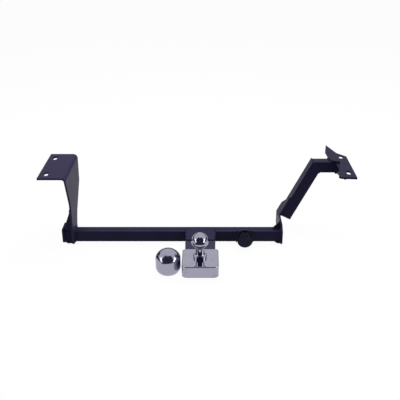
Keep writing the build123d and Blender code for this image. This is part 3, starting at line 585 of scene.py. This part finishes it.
def chrome(name, waviness, rough=0.05):
    """Bright plating over pressed or turned metal, or over plastic, which leaves it rougher."""
    material, wire = start_material(name)
    place = wire.node("ShaderNodeTexCoord", output=3)
    cloud = wire.mottle(place, scale=34, detail=3, roughness=0.55)
    wave = wire.mottle(place, scale=22, detail=1)
    marks = wire.node("ShaderNodeTexNoise", {}, {
        "Vector": place, "Scale": 160, "Detail": 4, "Distortion": 1.5})
    smudge = cloud.step(0.45, 0.75) * marks.step(0.4, 0.65)
    wire.coat({"Base Color": smudge.tint(chrome_tone, smudge_tone), "Metallic": 1.0,
               "Roughness": smudge * smudge_rough + rough,
               "Normal": wire.bump(strength=waviness, distance=0.0006, height=wave)})
    return material


cover_with(chrome("pressed_chrome", waviness=0.5), "end_cover")

# Tow ball, turned and ground from one bar of steel and plated: ball, neck, collar with two spanner
# flats, and a threaded shank that the nut pulls up through the cover and the tongue.
ball_radius = 0.025
ball_flat_radius = 0.006
ball_rings = 60
neck_radius = 0.013
neck_blend = 0.005
blend_rings = 10
collar_radius = 0.020
collar_half_flats = 0.018
collar_height = 0.009
collar_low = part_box("end_cover")[1].z
collar_high = collar_low + collar_height
collar_chamfer = 0.0015
shank_radius = 0.010
thread_pitch = 0.0025
thread_depth = 0.0009
thread_run_out = 0.0015
rings_per_turn = 8
thread_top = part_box("ball_nut")[1].z
shank_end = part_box("tow_ball")[0].z
shank_chamfer = 0.0025
centre_radius = 0.0002
turn_steps = 96


def turned(name, profile, material, shape):
    """Spins a profile of (radius, height) places round Z. shape gives each point its place."""
    points, faces = [], []
    for index, (radius, height) in enumerate(profile):
        for step in range(turn_steps):
            angle = 2 * math.pi * step / turn_steps
            points.append(shape(index, angle, radius * math.cos(angle), radius * math.sin(angle), height))
    for index in range(len(profile) - 1):
        for step in range(turn_steps):
            after = (step + 1) % turn_steps
            here, there = index * turn_steps, (index + 1) * turn_steps
            faces.append((here + step, here + after, there + after, there + step))
    faces.append(tuple(reversed(range(turn_steps))))
    faces.append(tuple(range((len(profile) - 1) * turn_steps, len(profile) * turn_steps)))
    return mesh_piece(name, points, faces, material)


def arc(centre, radius, start, end, steps):
    """Places on an arc in the profile, by angle in degrees from the outward direction."""
    angles = [math.radians(start + (end - start) * step / steps) for step in range(steps + 1)]
    return [(centre[0] + radius * math.cos(angle), centre[1] + radius * math.sin(angle))
            for angle in angles]


neck_meets = math.degrees(math.acos(neck_radius / ball_radius))
flat_angle = math.degrees(math.acos(ball_flat_radius / ball_radius))
thread_rings = round((thread_top - shank_end) / thread_pitch * rings_per_turn)
ball_profile = [(centre_radius, ball_radius * math.sin(math.radians(flat_angle)))]
ball_profile += arc((0, 0), ball_radius, flat_angle, -neck_meets, ball_rings)
ball_profile += arc((neck_radius + neck_blend, collar_high + neck_blend), neck_blend, 180, 270,
                    blend_rings)
ball_profile += [(collar_radius - collar_chamfer, collar_high),
                 (collar_radius, collar_high - collar_chamfer)]
collar_rings = range(len(ball_profile) - 3, len(ball_profile) + 1)
ball_profile += [(collar_radius, collar_low), (shank_radius, collar_low), (shank_radius, thread_top)]
first_thread_ring = len(ball_profile)
ball_profile += [(shank_radius, thread_top + (shank_end - thread_top) * step / thread_rings)
                 for step in range(1, thread_rings + 1)]
ball_profile += [(shank_radius - shank_chamfer, shank_end)]


def shape_ball(index, angle, x, y, z):
    """Cuts the collar's two flats and winds the thread on the shank."""
    if index in collar_rings:
        return (x, max(-collar_half_flats, min(collar_half_flats, y)), z)
    if first_thread_ring <= index < len(ball_profile) - 1:
        turn = (z / thread_pitch + angle / (2 * math.pi)) % 1
        depth = thread_depth * (1 - abs(2 * turn - 1)) + max(0, thread_run_out - (z - shank_end))
        return (x * (1 - depth / shank_radius), y * (1 - depth / shank_radius), z)
    return (x, y, z)


ball_chrome = chrome("turned_chrome", waviness=0.08)
tow_ball = turned("tow_ball_turned", ball_profile, ball_chrome, shape_ball)
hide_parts("tow_ball")
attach(tow_ball, "hitch")

# Spring washer and hexagon nut that hold the ball from below. They are plated in bright zinc with
# a fine spangle.
zinc_pale, zinc_yellow = (0.50, 0.50, 0.50), (0.60, 0.60, 0.57)
zinc_rough, spangle_rough, clouding_rough = 0.22, 0.12, 0.15


def zinc(name, first, second):
    """Zinc plating with its fine spangle, between those two colours."""
    material, wire = start_material(name)
    place = wire.node("ShaderNodeTexCoord", output=3)
    grain = wire.node("ShaderNodeTexVoronoi", {}, {"Vector": place, "Scale": 260})
    cloud = wire.mottle(place, scale=90, detail=3)
    wire.coat({"Base Color": cloud.step(0.3, 0.7).tint(first, second), "Metallic": 1.0,
               "Roughness": grain * spangle_rough + cloud * clouding_rough + zinc_rough,
               "Normal": wire.bump(strength=0.3, distance=0.00005, height=cloud + grain)})
    return material


cover_with(zinc("bright_zinc", zinc_pale, zinc_yellow), "ball_washer", "ball_nut")

# Loose ball cover: a thin shell of plated plastic, domed on top and turned in round its mouth. The
# rubber liner inside it grips the ball.
cap_low, cap_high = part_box("ball_cover")
cap_centre = (cap_low + cap_high) / 2
cap_radius = (cap_high.x - cap_low.x) / 2
cap_shell = 0.002
cap_turn_in = 0.024
cap_dome_rise = 0.030
shoulder_radius = 0.020
crown_end = 89.7
mouth_rings, shoulder_rings, crown_rings = 14, 10, 22
turn_height, shoulder_height = (corner.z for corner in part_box("ball_cover_liner"))
over_shoulder = cap_dome_rise - shoulder_radius
crown_drop = ((cap_radius - shoulder_radius) ** 2 - over_shoulder ** 2) / (2 * over_shoulder)
crown_angle = math.degrees(math.atan2(crown_drop, cap_radius - shoulder_radius))


def cap_side(inset):
    """Profile of the shell's outer or inner face, from the mouth up to the crown."""
    turn = cap_turn_in - inset
    mouth_angle = math.degrees(math.asin((turn_height - cap_low.z) / turn))
    side = arc((cap_radius - cap_turn_in, turn_height), turn, -mouth_angle, 0, mouth_rings)
    side += arc((cap_radius - shoulder_radius, shoulder_height), shoulder_radius - inset,
                0, crown_angle, shoulder_rings)
    crown_radius = cap_dome_rise + crown_drop - inset
    crown = arc((0, shoulder_height - crown_drop), crown_radius, crown_angle, crown_end, crown_rings)
    return side + crown[1:]


cap_profile = list(reversed(cap_side(0))) + cap_side(cap_shell)


def place_cap(index, angle, x, y, z):
    """Moves a point from the ball's axis to the cover's."""
    return (x + cap_centre.x, y + cap_centre.y, z)


cap_chrome = chrome("plated_plastic", waviness=0.2, rough=0.13)
ball_cover = turned("ball_cover_shell", cap_profile, cap_chrome, place_cap)
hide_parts("ball_cover")
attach(ball_cover, "ball_cover")

# Rubber pieces: the liner in the ball cover, the socket's gasket and boot, and the seal in its lid.
# They are moulded in soft black rubber with a dry, slightly dusty skin.
rubber_dark, rubber_dusty = (0.018, 0.018, 0.0198), (0.0288, 0.0288, 0.0306)
rubber_rough, rubber_uneven = 0.6, 0.2
black_rubber, wire = start_material("black_rubber")
place = wire.node("ShaderNodeTexCoord", output=3)
cloud = wire.mottle(place, scale=120, detail=4)
skin = wire.mottle(place, scale=1400, detail=2)
wire.coat({"Base Color": cloud.step(0.35, 0.75).tint(rubber_dark, rubber_dusty),
           "Roughness": cloud * rubber_uneven + rubber_rough,
           "Normal": wire.bump(strength=0.4, distance=0.00005, height=skin)})
cover_with(black_rubber, "ball_cover_liner", "socket_gasket", "socket_boot", "socket_lid_seal")

# Electrical socket on its bracket at the tube's back. Housing, insert and spring lid are moulded in
# black plastic with a fine grain. Its screws, nuts, hinge pin and spring are steel in black zinc.
plastic_dark, plastic_pale = (0.0070, 0.0074, 0.0190), (0.0115, 0.0120, 0.0280)
plastic_tint = (0.72, 0.76, 1.0)
plastic_rough, plastic_uneven = 0.36, 0.18
black_zinc_dark, black_zinc_pale = (0.020, 0.020, 0.026), (0.034, 0.033, 0.040)
plastic, wire = start_material("grained_plastic")
place = wire.node("ShaderNodeTexCoord", output=3)
grain = wire.node("ShaderNodeTexVoronoi", {}, {"Vector": place, "Scale": 1500})
cloud = wire.mottle(place, scale=60, detail=4)
wire.coat({"Base Color": cloud.step(0.3, 0.75).tint(plastic_dark, plastic_pale),
           "Roughness": cloud * plastic_uneven + plastic_rough, "IOR": 1.25,
           "Specular Tint": plastic_tint,
           "Normal": wire.bump(strength=0.35, distance=0.00008, height=grain)})
cover_with(plastic, "socket_body", "socket_lid", "socket_insert")
cover_with(zinc("black_zinc", black_zinc_dark, black_zinc_pale),
           "socket_screws", "socket_nuts", "socket_hinge_pin", "socket_spring")

# The socket's contacts: seven pins turned from brass, which has dulled in patches, pressed into the
# insert.
brass_bright, brass_dull = (0.72, 0.53, 0.24), (0.58, 0.40, 0.18)
brass_rough, brass_uneven = 0.15, 0.25
brass, wire = start_material("turned_brass")
place = wire.node("ShaderNodeTexCoord", output=3)
cloud = wire.mottle(place, scale=200, detail=4)
wire.coat({"Base Color": cloud.step(0.35, 0.7).tint(brass_bright, brass_dull), "Metallic": 1.0,
           "Roughness": cloud * brass_uneven + brass_rough,
           "Normal": wire.bump(strength=0.2, distance=0.00005, height=cloud)})
cover_with(brass, "socket_contacts")
